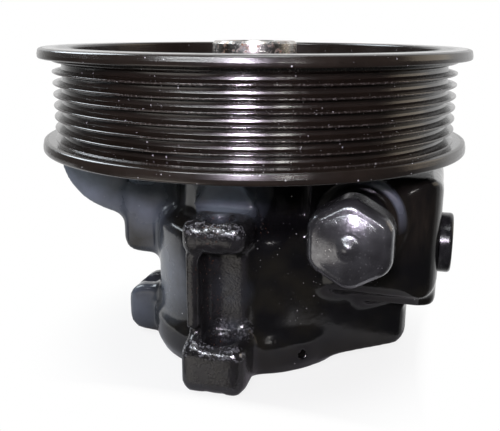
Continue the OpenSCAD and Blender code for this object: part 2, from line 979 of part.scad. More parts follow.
// hexagon head with a domed front at z = 0
module domed_hexagon() {
    dome_height = 4.2;
    front_share = 0.35;
    corner_share = 0.24;
    rows = 4;
    hull()
        for (i = [0:rows])
            let (a = 90 * i / rows)
                let (size = plug_hex_size * (front_share + (1 - front_share) * cos(a)))
                    translate([0, 0, dome_height * (1 - sin(a))])
                        soft_hexagon(size, size * corner_share, plug_hex_length - dome_height);
}

// round pip in the middle of the dome, rising from z = 0 to the front
module centre_pip() {
    root = 0.5;
    rows = 6;
    ball = (plug_pip_radius * plug_pip_radius + plug_pip_height * plug_pip_height) / (2 * plug_pip_height);
    spread = asin(plug_pip_radius / ball);
    arc = [
        for (i = [0:rows])
            let (a = spread * (1 - i / rows))
                [ball * sin(a), ball - plug_pip_height - ball * cos(a)]
    ];
    rotate_extrude()
        polygon(concat([[0, root], [plug_pip_radius, root]], arc));
}

module valve_plug() {
    neck_radius = plug_thread_radius - 0.3;
    hex_start = boss_face - plug_neck_length - plug_hex_length;
    seal_groove_start = boss_face + 1.4;
    seal_groove_depth = 1.9;
    seal_groove_width = 2.4;
    hollow_start = boss_face + 6;
    hollow_radius = 4;
    color(dark_steel_colour)
        difference() {
            union() {
                on_valve_axis(hex_start)
                    domed_hexagon();
                on_valve_axis(hex_start)
                    centre_pip();
                on_valve_axis(hex_start + plug_hex_length - cut)
                    cylinder(r = neck_radius, h = plug_neck_length + 2 * cut);
                on_valve_axis(boss_face)
                    cylinder(r = plug_thread_radius, h = plug_thread_length);
            }
            on_valve_axis(seal_groove_start)
                tube(plug_thread_radius + cut, plug_thread_radius - seal_groove_depth, 0, seal_groove_width);
            on_valve_axis(hollow_start)
                cylinder(r = hollow_radius, h = plug_thread_length);
        }
}

module plug_o_ring() {
    wire = 0.93;
    color(rubber_colour)
        on_valve_axis(boss_face + 1.4)
            torus(plug_thread_radius - 0.02 - wire, wire, 1.2);
}

module flow_valve_spool() {
    land = spool_radius - running_clearance;
    waist = land - 1.6;
    color(steel_colour)
        difference() {
            on_valve_axis(spool_start)
                cylinder(r = land, h = spool_length);
            on_valve_axis(spool_start + 6)
                tube(land + cut, waist, 0, 9);
            on_valve_axis(relief_seat_y)
                cylinder(r = relief_bore_radius, h = spool_length);
            on_valve_axis(spool_start + 3)
                cylinder(r = relief_seat_radius, h = 8);
            on_valve_axis(spool_start + 4.6)
                rotate([0, 90, 0])
                    cylinder(r = 1.2, h = spool_radius + cut);
        }
}

module flow_valve_spring() {
    wire = 0.8;
    side_gap = 1.6;
    turns = 6;
    color(steel_colour)
        on_valve_axis(spool_end)
            coil(spool_radius - side_gap - wire, wire, valve_spring_length, turns);
}

module relief_ball() {
    color(steel_colour)
        on_valve_axis(relief_ball_y)
            sphere(relief_ball_radius);
}

module relief_guide() {
    color(dark_steel_colour)
        difference() {
            union() {
                on_valve_axis(relief_ball_y + 1.2)
                    cylinder(r = relief_bore_radius - running_clearance, h = 2.4);
                on_valve_axis(relief_ball_y + 3)
                    cylinder(r = 1.8, h = 2.6);
            }
            on_valve_axis(relief_ball_y)
                sphere(relief_ball_radius + 0.02);
        }
}

module relief_spring() {
    start = relief_ball_y + 3.6;
    coil_radius = 2.9;
    wire = 0.5;
    turns = 5;
    color(steel_colour)
        on_valve_axis(start)
            coil(coil_radius, wire, spool_end - relief_retainer_thickness - start, turns);
}

module relief_retainer() {
    color(dark_steel_colour)
        on_valve_axis(spool_end - relief_retainer_thickness)
            tube(relief_bore_radius, 1, 0, relief_retainer_thickness);
}

module side_port_plug() {
    shank_radius = side_plug_radius - 3;
    shank_length = 12;
    shank_wall = 2;
    lip = 1.2;
    rounding = [
        for (a = [0:15:90])
            [side_plug_radius + lip * (cos(a) - 1), side_plug_rise + lip * (sin(a) - 1)]
    ];
    color(plastic_colour)
        translate([block_right, side_port_y, side_port_z])
            rotate([0, 90, 0])
                difference() {
                    union() {
                        rotate_extrude()
                            polygon(concat([[0, 0], [side_plug_radius, 0]], rounding, [[0, side_plug_rise]]));
                        translate([0, 0, -shank_length])
                            cylinder(r = shank_radius, h = shank_length + cut);
                    }
                    translate([0, 0, -shank_length - cut])
                        cylinder(r = shank_radius - shank_wall, h = shank_length);
                }
}

pulley();
pulley_hub();
drive_shaft();
pump_housing();
bearing_outer_ring();
bearing_inner_ring();
bearing_balls();
bearing_cage();
bearing_shields();
bearing_snap_ring();
shaft_seal();
seal_garter_spring();
shaft_bush();
thrust_plate();
cam_ring();
rotor();
vane(1);  // vane_1
vane(2);  // vane_2
vane(3);  // vane_3
vane(4);  // vane_4
vane(5);  // vane_5
vane(6);  // vane_6
vane(7);  // vane_7
vane(8);  // vane_8
vane(9);  // vane_9
vane(10);  // vane_10
rotor_snap_ring();
dowel_pins();
pressure_plate();
pressure_plate_o_ring();
pressure_plate_spring();
end_cover();
end_cover_o_ring();
end_cover_retaining_ring();
valve_plug();
plug_o_ring();
flow_valve_spool();
flow_valve_spring();
relief_ball();
relief_guide();
relief_spring();
relief_retainer();
side_port_plug();
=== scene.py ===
import json
import math

import bmesh
import bpy
import numpy as np
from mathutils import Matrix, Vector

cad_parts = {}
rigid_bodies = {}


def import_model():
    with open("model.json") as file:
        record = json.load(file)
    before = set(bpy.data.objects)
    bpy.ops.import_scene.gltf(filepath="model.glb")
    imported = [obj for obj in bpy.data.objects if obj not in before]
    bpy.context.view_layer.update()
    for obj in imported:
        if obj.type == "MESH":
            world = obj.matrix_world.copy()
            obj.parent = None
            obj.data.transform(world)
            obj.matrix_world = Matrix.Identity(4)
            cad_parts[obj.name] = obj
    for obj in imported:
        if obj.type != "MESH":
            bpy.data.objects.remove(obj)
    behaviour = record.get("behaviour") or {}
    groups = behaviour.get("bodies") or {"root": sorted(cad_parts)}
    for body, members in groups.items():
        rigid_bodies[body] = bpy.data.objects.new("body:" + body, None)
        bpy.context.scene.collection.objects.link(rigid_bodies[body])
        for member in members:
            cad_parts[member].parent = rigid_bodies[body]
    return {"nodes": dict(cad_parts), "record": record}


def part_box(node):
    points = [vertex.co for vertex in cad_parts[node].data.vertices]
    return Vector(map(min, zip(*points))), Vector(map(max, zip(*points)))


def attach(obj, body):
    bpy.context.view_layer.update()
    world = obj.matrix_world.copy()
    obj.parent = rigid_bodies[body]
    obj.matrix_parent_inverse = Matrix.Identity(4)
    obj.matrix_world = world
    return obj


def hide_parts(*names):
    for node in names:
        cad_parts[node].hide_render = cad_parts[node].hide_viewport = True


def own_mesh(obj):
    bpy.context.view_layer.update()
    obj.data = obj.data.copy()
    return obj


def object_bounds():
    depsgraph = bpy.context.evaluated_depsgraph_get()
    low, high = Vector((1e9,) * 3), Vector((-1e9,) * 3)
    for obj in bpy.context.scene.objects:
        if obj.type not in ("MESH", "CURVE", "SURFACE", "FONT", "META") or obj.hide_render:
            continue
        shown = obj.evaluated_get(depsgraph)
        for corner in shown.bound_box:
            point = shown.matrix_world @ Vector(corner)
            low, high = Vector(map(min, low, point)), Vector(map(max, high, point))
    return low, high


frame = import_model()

import openvdb
from mathutils import Euler, Quaternion, Vector, noise

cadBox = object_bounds()
nodes = frame["nodes"]
mm = 0.001
print("frame loaded:", len(nodes), "nodes")


def nodeBox(name):
    # lowest and highest corner of a node in mm
    return [[c / mm for c in corner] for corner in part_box(name)]


# mesh helpers

def newPiece(name, verts, faces, smooth=True):
    mesh = bpy.data.meshes.new(name)
    mesh.from_pydata(verts, [], faces)
    mesh.validate()
    obj = bpy.data.objects.new(name, mesh)
    bpy.context.scene.collection.objects.link(obj)
    mesh.polygons.foreach_set("use_smooth", [smooth] * len(mesh.polygons))
    return obj


def applyModifiers(obj):
    graph = bpy.context.evaluated_depsgraph_get()
    done = bpy.data.meshes.new_from_object(obj.evaluated_get(graph))
    obj.modifiers.clear()
    obj.data = done


def roundCorners(points, steps=5):
    # points are (across, along, corner radius); each corner becomes an arc
    path = []
    count = len(points)
    for i, (x, y, radius) in enumerate(points):
        here = Vector((x, y))
        before = Vector(points[i - 1][:2]) - here
        after = Vector(points[(i + 1) % count][:2]) - here
        if radius <= 0 or before.length < 1e-9 or after.length < 1e-9:
            path.append((x, y))
            continue
        opening = before.angle(after)
        reach = min(radius / math.tan(opening / 2), 0.49 * before.length, 0.49 * after.length)
        start = here + before.normalized() * reach
        end = here + after.normalized() * reach
        for k in range(steps + 1):
            t = k / steps
            path.append(tuple((1 - t) ** 2 * start + 2 * t * (1 - t) * here + t * t * end))
    return path


def faceOutwards(obj):
    work = bmesh.new()
    work.from_mesh(obj.data)
    bmesh.ops.remove_doubles(work, verts=work.verts, dist=1e-7)
    bmesh.ops.recalc_face_normals(work, faces=work.faces)
    work.to_mesh(obj.data)
    work.free()


def lathe(name, profile, turns, closed=True):
    # profile is (radius, height) in mm round the Z axis
    angles = [2 * math.pi * i / turns for i in range(turns)]
    verts = [(r * math.cos(a) * mm, r * math.sin(a) * mm, z * mm) for a in angles for r, z in profile]
    count = len(profile)
    last = count if closed else count - 1
    faces = []
    for i in range(turns):
        j = (i + 1) % turns
        for k in range(last):
            n = (k + 1) % count
            faces.append((i * count + k, j * count + k, j * count + n, i * count + n))
    obj = newPiece(name, verts, faces)
    faceOutwards(obj)
    return obj


def evenNormals(obj):
    obj.modifiers.new("evenNormals", "WEIGHTED_NORMAL").keep_sharp = True


# material helpers

def newMaterial(name):
    material = bpy.data.materials.new(name)
    material.use_nodes = True
    tree = material.node_tree
    tree.nodes.clear()
    output = tree.nodes.new("ShaderNodeOutputMaterial")
    shader = tree.nodes.new("ShaderNodeBsdfPrincipled")
    tree.links.new(shader.outputs[0], output.inputs[0])
    return material, tree, shader


def plug(tree, socket, value):
    # a socket takes a link, a number or a colour
    if isinstance(value, bpy.types.NodeSocket):
        tree.links.new(value, socket)
    else:
        socket.default_value = value


def place(tree):
    return tree.nodes.new("ShaderNodeTexCoord").outputs["Object"]


def grain(tree, size, detail=3.0, rough=0.55, stretch=(1, 1, 1)):
    # noise whose features are about this many mm
    scaled = tree.nodes.new("ShaderNodeMapping")
    plug(tree, scaled.inputs["Vector"], place(tree))
    scaled.inputs["Scale"].default_value = [s / (size * mm) for s in stretch]
    texture = tree.nodes.new("ShaderNodeTexNoise")
    plug(tree, texture.inputs["Vector"], scaled.outputs[0])
    texture.inputs["Scale"].default_value = 1.0
    texture.inputs["Detail"].default_value = detail
    texture.inputs["Roughness"].default_value = rough
    return texture.outputs["Fac"]


def cells(tree, size):
    # distance to the nearest of scattered points, in cell widths
    scaled = tree.nodes.new("ShaderNodeMapping")
    plug(tree, scaled.inputs["Vector"], place(tree))
    scaled.inputs["Scale"].default_value = [1 / (size * mm)] * 3
    texture = tree.nodes.new("ShaderNodeTexVoronoi")
    plug(tree, texture.inputs["Vector"], scaled.outputs[0])
    texture.inputs["Scale"].default_value = 1.0
    return texture.outputs["Distance"]


def spread(tree, value, low, high, start=0.0, end=1.0):
    node = tree.nodes.new("ShaderNodeMapRange")
    plug(tree, node.inputs["Value"], value)
    node.inputs["From Min"].default_value = low
    node.inputs["From Max"].default_value = high
    node.inputs["To Min"].default_value = start
    node.inputs["To Max"].default_value = end
    return node.outputs["Result"]


def sums(tree, operation, a, b):
    node = tree.nodes.new("ShaderNodeMath")
    node.operation = operation
    plug(tree, node.inputs[0], a)
    plug(tree, node.inputs[1], b)
    return node.outputs[0]


def blendColour(tree, share, a, b):
    node = tree.nodes.new("ShaderNodeMix")
    node.data_type = "RGBA"
    plug(tree, node.inputs["Factor"], share)
    plug(tree, node.inputs["A"], a if isinstance(a, bpy.types.NodeSocket) else (*a, 1))
    plug(tree, node.inputs["B"], b if isinstance(b, bpy.types.NodeSocket) else (*b, 1))
    return node.outputs["Result"]


def relief(tree, height, depth, below=None):
    # bump of this depth in mm
    node = tree.nodes.new("ShaderNodeBump")
    node.inputs["Strength"].default_value = 1.0
    node.inputs["Distance"].default_value = depth * mm
    plug(tree, node.inputs["Height"], height)
    if below is not None:
        plug(tree, node.inputs["Normal"], below)
    return node.outputs["Normal"]


def nearSpot(tree, spot, reach, strength=1.0):
    # full strength at the spot (mm) and none at this reach
    node = tree.nodes.new("ShaderNodeVectorMath")
    node.operation = "DISTANCE"
    plug(tree, node.inputs[0], place(tree))
    node.inputs[1].default_value = [c * mm for c in spot]
    return spread(tree, node.outputs["Value"], reach * mm, 0.3 * reach * mm, 0.0, strength)


def nearAny(tree, spots):
    # strongest of several spots
    share = 0.0
    for spot in spots:
        share = sums(tree, "MAXIMUM", nearSpot(tree, *spot), share)
    return share


def axisRadius(tree, point=(0, 0, 0), across=(1, 1, 0)):
    # distance in metres from an axis through the point (mm), by default the shaft axis
    moved = tree.nodes.new("ShaderNodeVectorMath")
    moved.operation = "SUBTRACT"
    plug(tree, moved.inputs[0], place(tree))
    moved.inputs[1].default_value = [c * mm for c in point]
    flat = tree.nodes.new("ShaderNodeVectorMath")
    flat.operation = "MULTIPLY"
    plug(tree, flat.inputs[0], moved.outputs[0])
    flat.inputs[1].default_value = across
    length = tree.nodes.new("ShaderNodeVectorMath")
    length.operation = "LENGTH"
    plug(tree, length.inputs[0], flat.outputs[0])
    return length.outputs["Value"]


def dustDots(tree, spacing, size):
    # sparse dots of this size in mm, about one in two cells
    dots = spread(tree, cells(tree, spacing), size / spacing, 0.6 * size / spacing)
    some = spread(tree, grain(tree, 2.3 * spacing, 1.0), 0.5, 0.56)
    return sums(tree, "MULTIPLY", dots, some)


# cast body: gloss black paint over rough iron

castPaint = {
    # grey is the colour of the painted sheen and painted highlights; film is a random tone of the paint
    "black": (0.0042, 0.0042, 0.0046), "film": (0.0105, 0.0098, 0.0072), "grey": (0.125, 0.146, 0.178),
    "rust": (0.16, 0.05, 0.015), "dust": (0.4, 0.4, 0.4),
    "rustSpots": [
        ((-6, -41, 37), 9), ((-5, -38, 26), 7), ((-2, -42, 57), 11), ((0, -41.6, 12), 8), ((12, -31, 52), 6),
    ],
    # lighter, duller places, a painted sheen standing in for reflected light: spot in mm, reach, strength
    "paintedSheenSpots": [
        ((-2, -30.5, 63), 17, 1.0), ((-64, 2, 58), 34, 1.0), ((-38, -10, 52), 16, 0.8),
        ((2, -35.5, 30), 8, 0.2), ((3, -37, 17.6), 6, 0.35), ((-27, -22, 30), 20, 0.6), ((-46, -6, 12), 17, 0.45),
    ],
    # the boss is lighter on a ring round the valve axis, near one spot: a painted highlight on its chamfer
    "bossAxis": (40.3, 0, 53.6), "bossHighlightRing": (11.8, 12.6, 14.2, 15.0), "bossHighlightSpot": ((49.5, -26, 63), 13, 0.8),
    # warm brown streaks on the valve block's face beside the plug: a painted sheen
    "warmSheen": (0.02, 0.016, 0.012), "warmSheenSpot": ((57, -24, 55), 16),
    "dustSpots": [((15, -31, 46), 11), ((24, -27, 27), 12), ((41, -24, 38), 9)],
    "looseDust": (4.0, 0.24), "fineDust": (1.3, 0.17),   # spacing and size of the dots in mm
    # lugs and recess, the roughest faces, start this far forward; their lighter colour is a painted sheen
    "front": (0.0145, 0.0145, 0.0152), "frontStart": (-34.6, -35.4),
    # bare sparkle along the lugs' upper front edges: heights in mm, then how far forward it starts
    "bare": (0.36, 0.37, 0.39), "bareHeights": [(51.5, 54.5, 57.5), (12.5, 15.0, 18.0)],
    "bareStart": (-44.5, -46.5),
    # bare metal flecks on the recess foot's fillet and the upper lug's top edge: partly wear, partly a painted
    # highlight
    "bareAndHighlightSpots": [((0, -37, 17.6), 4.5, 0.3), ((6.5, -37, 17.8), 4.5, 0.35), ((-1, -44, 56.4), 4.5, 0.7)],
    "specular": 0.45, "gloss": (0.1, 0.22), "frontGloss": (0.14, 0.24), "dullness": 0.6,
    # grain and depth of the bumps in mm, and the share of the fine ones away from the front
    "coarseBump": (4.0, 0.05), "fineBump": (0.75, 0.13), "smoothShare": 0.12,
}


# mask of the painted sheen: bluish grey patches, and a painted highlight on the boss's ring
def paintedSheenPlaces(tree):
    inner, start, end, outer = [c * mm for c in castPaint["bossHighlightRing"]]
    radius = axisRadius(tree, castPaint["bossAxis"], (1, 0, 1))
    highlightRing = sums(tree, "MULTIPLY", spread(tree, radius, inner, start), spread(tree, radius, outer, end))
    # painted highlight on the boss's ring, near one spot
    boss = sums(tree, "MULTIPLY", highlightRing, nearSpot(tree, *castPaint["bossHighlightSpot"]))
    grey = sums(tree, "MAXIMUM", nearAny(tree, castPaint["paintedSheenSpots"]), boss)
    return sums(tree, "MULTIPLY", grey, spread(tree, grain(tree, 6.0, 4.0), 0.3, 0.6, 0.65, 1.0))


def bareEdges(tree, forward, height):
    edges = 0.0
    for low, middle, high in castPaint["bareHeights"]:
        under = spread(tree, height, low * mm, middle * mm)
        over = spread(tree, height, high * mm, middle * mm)
        edges = sums(tree, "MAXIMUM", sums(tree, "MULTIPLY", under, over), edges)
    start, end = castPaint["bareStart"]
    edges = sums(tree, "MULTIPLY", edges, spread(tree, forward, start * mm, end * mm))
    edges = sums(tree, "MAXIMUM", edges, nearAny(tree, castPaint["bareAndHighlightSpots"]))
    return sums(tree, "MULTIPLY", edges, spread(tree, grain(tree, 1.1, 3.0, 0.6), 0.52, 0.6))


def paintedIron():
    material, tree, shader = newMaterial("paintedIron")
    split = tree.nodes.new("ShaderNodeSeparateXYZ")
    plug(tree, split.inputs[0], place(tree))
    forward, height = split.outputs["Y"], split.outputs["Z"]

    film = spread(tree, grain(tree, 14, 4.0), 0.45, 0.68)
    colour = blendColour(tree, film, castPaint["black"], castPaint["film"])
    # painted sheen: warm brown streaks on the valve block's face
    streaks = spread(tree, grain(tree, 2.5, 3.0, 0.5, (1, 1, 0.3)), 0.2, 0.8)
    warmSheen = sums(tree, "MULTIPLY", nearSpot(tree, *castPaint["warmSheenSpot"]), streaks)
    colour = blendColour(tree, warmSheen, colour, castPaint["warmSheen"])
    # bluish grey painted sheen and painted highlight over the paint
    paintedSheenShare = paintedSheenPlaces(tree)
    colour = blendColour(tree, paintedSheenShare, colour, castPaint["grey"])
    # lugs and recess: rougher faces, and lighter in colour as a painted sheen
    start, end = castPaint["frontStart"]
    front = spread(tree, forward, start * mm, end * mm)
    patches = spread(tree, grain(tree, 5.0, 3.0), 0.2, 0.6)
    colour = blendColour(tree, sums(tree, "MULTIPLY", front, patches), colour, castPaint["front"])

    dusty = nearAny(tree, castPaint["dustSpots"])
    fineDust = sums(tree, "MULTIPLY", dusty, dustDots(tree, *castPaint["fineDust"]))
    dust = sums(tree, "MAXIMUM", dustDots(tree, *castPaint["looseDust"]), fineDust)
    colour = blendColour(tree, dust, colour, castPaint["dust"])
    flecks = spread(tree, grain(tree, 0.9, 4.0, 0.7), 0.62, 0.7)
    rust = sums(tree, "MULTIPLY", flecks, nearAny(tree, castPaint["rustSpots"]))
    colour = blendColour(tree, rust, colour, castPaint["rust"])
    bare = bareEdges(tree, forward, height)
    colour = blendColour(tree, bare, colour, castPaint["bare"])
    plug(tree, shader.inputs["Base Color"], colour)
    plug(tree, shader.inputs["Metallic"], bare)

    gloss = spread(tree, grain(tree, 5.0, 4.0), 0.3, 0.7, *castPaint["gloss"])
    dull = sums(tree, "MULTIPLY", sums(tree, "ADD", paintedSheenShare, rust), castPaint["dullness"])
    speckled = spread(tree, grain(tree, 4.0, 3.0), 0.35, 0.6, *castPaint["frontGloss"])
    rough = sums(tree, "MAXIMUM", sums(tree, "MAXIMUM", gloss, dull), sums(tree, "MULTIPLY", front, speckled))
    plug(tree, shader.inputs["Roughness"], rough)
    shader.inputs["Specular IOR Level"].default_value = castPaint["specular"]
    size, depth = castPaint["coarseBump"]
    coarse = relief(tree, grain(tree, size, 1.0), depth)
    size, depth = castPaint["fineBump"]
    rougher = spread(tree, front, 0, 1, castPaint["smoothShare"], 1.0)
    fine = relief(tree, sums(tree, "MULTIPLY", grain(tree, size, 2.0, 0.5), rougher), depth, coarse)
    plug(tree, shader.inputs["Normal"], fine)
    return material


castShape = {
    "voxel": 0.75, "reach": 9.0, "hollowFillet": 3.2, "edgeRound": 1.2, "triangles": 190000,
    "unevenness": 0.1, "waviness": 9.0,
    # machined round faces that stay crisp: point, axis, radius, start and end along the axis
    "machined": [
        ((0, 0, 0), 2, 30.0, -2, 46), ((0, 0, 0), 2, 22.5, 44, 73), ((0, -41.6, 0), 2, 5.2, -2, 60),
        ((-39.6, 0, 0), 2, 5.2, -2, 60), ((-39.6, 0, 0), 2, 10.0, 56.5, 70), ((-50, 0, 59.1), 1, 7.6, 9, 27),
        ((40.3, 0, 53.6), 1, 10.0, -28, 31), ((40.3, 0, 53.6), 1, 11.5, -28, -24.6),
        ((0, -3, 42.6), 0, 7.5, 30, 68),
    ],
    "machinedFade": 1.6,
    "punchHole": (-48, 6.8, 1.9), "punchStart": 25,    # heading in degrees, height, radius; distance out
    "crispBox": ((-15, -34, 56.6), (12, -27.5, 72)),   # gusset behind the front lug
    # front lugs: bolt centre and radius, heights of the drilled lugs, boxes that get the larger rounding
    "lugRound": 2.8, "lugBolt": (0, -41.6, 4.5), "lugHeights": [(0.8, 15.6), (46.8, 55.4)], "boltTop": 58,
    "lugBoxes": [((-15, -54, 46.5), (13, -44.5, 60)), ((-16, -54, 1), (13, -45.5, 20))],
    "stopperOverlap": 1.5, "lugFade": 1.5,
}


def meshArrays(obj):
    mesh = obj.data
    mesh.calc_loop_triangles()
    points = np.empty(len(mesh.vertices) * 3, np.float32)
    mesh.vertices.foreach_get("co", points)
    corners = np.empty(len(mesh.loop_triangles) * 3, np.int32)
    mesh.loop_triangles.foreach_get("vertices", corners)
    return points.reshape(-1, 3) / mm, corners.reshape(-1, 3).astype(np.uint32)


def levelSet(points, triangles=None, quads=None):
    transform = openvdb.createLinearTransform(castShape["voxel"])
    return openvdb.FloatGrid.createLevelSetFromPolygons(points, triangles, quads, transform, castShape["reach"])


def offsetTwice(grid, distance):
    # a plus distance goes out and back and fills hollow corners, a minus one rounds the edges
    points, quads = grid.convertToQuads(distance)
    points, quads = levelSet(points, quads=quads).convertToQuads(-distance)
    return levelSet(points, quads=quads)


def boxDistance(spots, box):
    near, far = box
    return np.maximum.reduce([np.maximum(near[k] - spots[k], spots[k] - far[k]) for k in range(3)])


def gridFrom(field, low, background):
    grid = openvdb.FloatGrid(background)
    grid.transform = openvdb.createLinearTransform(castShape["voxel"])
    grid.gridClass = openvdb.GridClass.LEVEL_SET
    grid.copyFromArray(field, ijk=low)
    return grid


def roundLugs(spots, field, low, background):
    # bolt hole filled, edges rounded, bolt hole cut again
    x, y, radius = castShape["lugBolt"]
    hole = np.sqrt((spots[0] - x) ** 2 + (spots[1] - y) ** 2) - radius
    stopper = np.clip(hole - castShape["stopperOverlap"], -background, background)
    for bottom, top in castShape["lugHeights"]:
        inside = (spots[2] > bottom) & (spots[2] < top)
        field = np.where(inside, np.minimum(field, stopper), field)
    points, quads = gridFrom(field, low, background).convertToQuads(0.0)
    rounded = offsetTwice(levelSet(points, quads=quads), -castShape["lugRound"])
    rounder = np.empty_like(field)
    rounded.copyToArray(rounder, ijk=low)
    for box in castShape["lugBoxes"]:
        share = np.clip(1 - boxDistance(spots, box) / castShape["lugFade"], 0, 1)
        field = share * rounder + (1 - share) * field
    return np.maximum(field, np.where(spots[2] < castShape["boltTop"], -hole, -background))


def machinedShare(x, y, z):
    # 1 on machined faces, fading to 0 on cast ones
    share = np.zeros(x.shape, np.float32)
    spots = (x, y, z)
    for point, axis, radius, start, end in castShape["machined"]:
        across = [spots[k] - point[k] for k in range(3) if k != axis]
        out = np.sqrt(across[0] ** 2 + across[1] ** 2) - radius
        along = np.maximum(start - spots[axis], spots[axis] - end)
        share = np.maximum(share, np.clip(1 - np.maximum(out, along) / castShape["machinedFade"], 0, 1))
    share = np.maximum(share, np.clip(1 - boxDistance(spots, castShape["crispBox"]), 0, 1))
    heading, height, radius = castShape["punchHole"]
    a = math.radians(heading)
    sideways = np.sqrt((y * math.cos(a) - x * math.sin(a)) ** 2 + (z - height) ** 2) - radius
    ahead = x * math.cos(a) + y * math.sin(a)
    punched = np.maximum(share, np.clip(1 - sideways, 0, 1))
    return np.where(ahead > castShape["punchStart"], punched, share)


def castSkin():
    # crisp machined faces and soft cast ones, joined in one surface
    crisp = levelSet(*meshArrays(nodes["pump_housing"]))
    soft = offsetTwice(crisp, castShape["hollowFillet"])
    soft = offsetTwice(soft, -castShape["edgeRound"])
    low, high = crisp.evalActiveVoxelBoundingBox()
    size = [b - a + 1 for a, b in zip(low, high)]
    background = float(crisp.background)
    crispField, softField = np.empty(size, np.float32), np.empty(size, np.float32)
    crisp.copyToArray(crispField, ijk=low)
    soft.copyToArray(softField, ijk=low)
    axes = [(np.arange(n) + start).astype(np.float32) * castShape["voxel"] for n, start in zip(size, low)]
    spots = np.meshgrid(*axes, indexing="ij")
    share = machinedShare(*spots)
    softField = roundLugs(spots, softField, low, background)
    field = share * crispField + (1 - share) * softField
    return gridFrom(field, low, background).convertToQuads(0.0)


def unevenSkin(body):
    # slight waves of the casting, kept inside the frame's box
    places = np.empty(len(body.data.vertices) * 3, np.float32)
    normals = np.empty_like(places)
    body.data.vertices.foreach_get("co", places)
    body.data.vertices.foreach_get("normal", normals)
    push = [noise.noise(Vector(p) / (castShape["waviness"] * mm)) for p in places.reshape(-1, 3).tolist()]
    places += normals * np.repeat(np.array(push, np.float32), 3) * castShape["unevenness"] * mm
    places = np.clip(places.reshape(-1, 3), cadBox[0], cadBox[1]).astype(np.float32).ravel()
    body.data.vertices.foreach_set("co", places)
    body.data.update()


def castBody():
    points, quads = castSkin()
    body = newPiece("castBody", (points * mm).tolist(), quads.tolist())
    faceOutwards(body)
    print("cast body:", len(quads), "quads before thinning")
    ease = body.modifiers.new("ease", "CORRECTIVE_SMOOTH")
    ease.iterations = 3
    ease.smooth_type = "SIMPLE"
    thin = body.modifiers.new("thin", "DECIMATE")
    thin.ratio = min(1.0, castShape["triangles"] / (2 * len(quads)))
    applyModifiers(body)
    unevenSkin(body)
    body.data.polygons.foreach_set("use_smooth", [True] * len(body.data.polygons))
    body.data.materials.clear()
    body.data.materials.append(paintedIron())
    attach(body, "housing")
    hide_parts("pump_housing")


castBody()
print("cast body done")


# belt pulley: turned steel with a dark glossy coat

pulleyLow, pulleyHigh = nodeBox("pulley")
pulleySize = {
    "bottom": pulleyLow[2], "top": pulleyHigh[2], "flange": pulleyHigh[0], "hub": 14.2, "turns": 330,
    # belt grooves
    "firstGroove": 76.65, "pitch": 3.56, "grooves": 7, "ribTip": 66.9, "grooveDepth": 3.0, "tipFlat": 0.6,
    "tipRound": 0.45, "floorDip": 0.1, "floorHalf": 0.9, "floorBend": 0.6, "floorRound": 0.4,
    # flanges: straight to a height, then tapered to a rounded edge
    "upperFlange": 3.21, "lowerStraight": 1.6, "upperStraight": 1.35, "straightRound": 0.8, "flangeRound": 1.2,
    "flangeEdge": 0.7, "taper": 0.34, "edgeDrop": 0.35, "edgeWidth": 1.0, "lowerFoot": 0.2, "upperFoot": 0.3,
    # bowl and its access holes
    "bowl": 61.3, "rimRound": 0.9, "bowlFillet": 5.0, "web": 3.4,
    "holes": 4, "holeRadius": 11.0, "holeDistance": 40.75, "holeFlare": 0.5, "holeTurns": 96,
}
pulleyCoat = {
    "coat": (0.0074, 0.005, 0.0036), "paler": 1.8, "worn": (0.2, 0.18, 0.17), "dust": (0.5, 0.5, 0.52),
    "looseDust": (3.2, 0.28), "fineDust": (1.7, 0.17),   # spacing and size of the dots in mm
    "wornTip": (66.74, 66.9, 67.0, 67.2), "wornShare": (0.04, 0.55), "wornMetal": 0.7,
    # radii in mm, then the roughness at each
    "grooveRough": (64.6, 66.6, 0.2, 0.11), "flangeRough": (68.5, 69.5, 0.0, 0.2), "roughChange": (-0.02, 0.06),
    "specular": 1.0, "speckDepth": 0.016, "lineDepth": 0.012,
}


def roughAt(tree, radius, settings):
    near, far, start, end = settings
    return spread(tree, radius, near * mm, far * mm, start, end)


def coatedSteel():
    material, tree, shader = newMaterial("coatedSteel")
    s = pulleyCoat
    radius = axisRadius(tree)
    inner, start, end, outer = [c * mm for c in s["wornTip"]]
    tips = sums(tree, "MULTIPLY", spread(tree, radius, inner, start), spread(tree, radius, outer, end))
    scuffs = spread(tree, grain(tree, 0.8, 4.0, 0.7), 0.52, 0.64, *s["wornShare"])
    worn = sums(tree, "MULTIPLY", tips, scuffs)
    tone = spread(tree, grain(tree, 11, 3.0), 0.3, 0.7)
    colour = blendColour(tree, tone, s["coat"], [s["paler"] * c for c in s["coat"]])
    colour = blendColour(tree, worn, colour, s["worn"])
    dust = sums(tree, "MAXIMUM", dustDots(tree, *s["looseDust"]), dustDots(tree, *s["fineDust"]))
    colour = blendColour(tree, dust, colour, s["dust"])
    plug(tree, shader.inputs["Base Color"], colour)
    plug(tree, shader.inputs["Metallic"], sums(tree, "MULTIPLY", worn, s["wornMetal"]))
    # groove floors and flanges are duller than the rib tips
    dull = sums(tree, "MAXIMUM", roughAt(tree, radius, s["grooveRough"]), roughAt(tree, radius, s["flangeRough"]))
    change = spread(tree, grain(tree, 4, 4.0), 0.3, 0.7, *s["roughChange"])
    plug(tree, shader.inputs["Roughness"], sums(tree, "ADD", dull, change))
    shader.inputs["Specular IOR Level"].default_value = s["specular"]
    specks = relief(tree, grain(tree, 0.6, 3.0, 0.65), s["speckDepth"])
    lines = grain(tree, 0.25, 2.0, 0.5, (0.02, 0.02, 1))
    plug(tree, shader.inputs["Normal"], relief(tree, lines, s["lineDepth"], specks))
    return material


def flangeProfile(bottom, straight, top):
    # outer side of a flange, from its lower edge up
    s = pulleySize
    edge = s["flange"] - s["taper"]
    return [
        (s["flange"], bottom, s["flangeRound"]), (s["flange"], bottom + straight, s["straightRound"]),
        (edge, top - s["edgeDrop"], s["flangeEdge"]), (edge - s["edgeWidth"], top, s["flangeEdge"]),
    ]


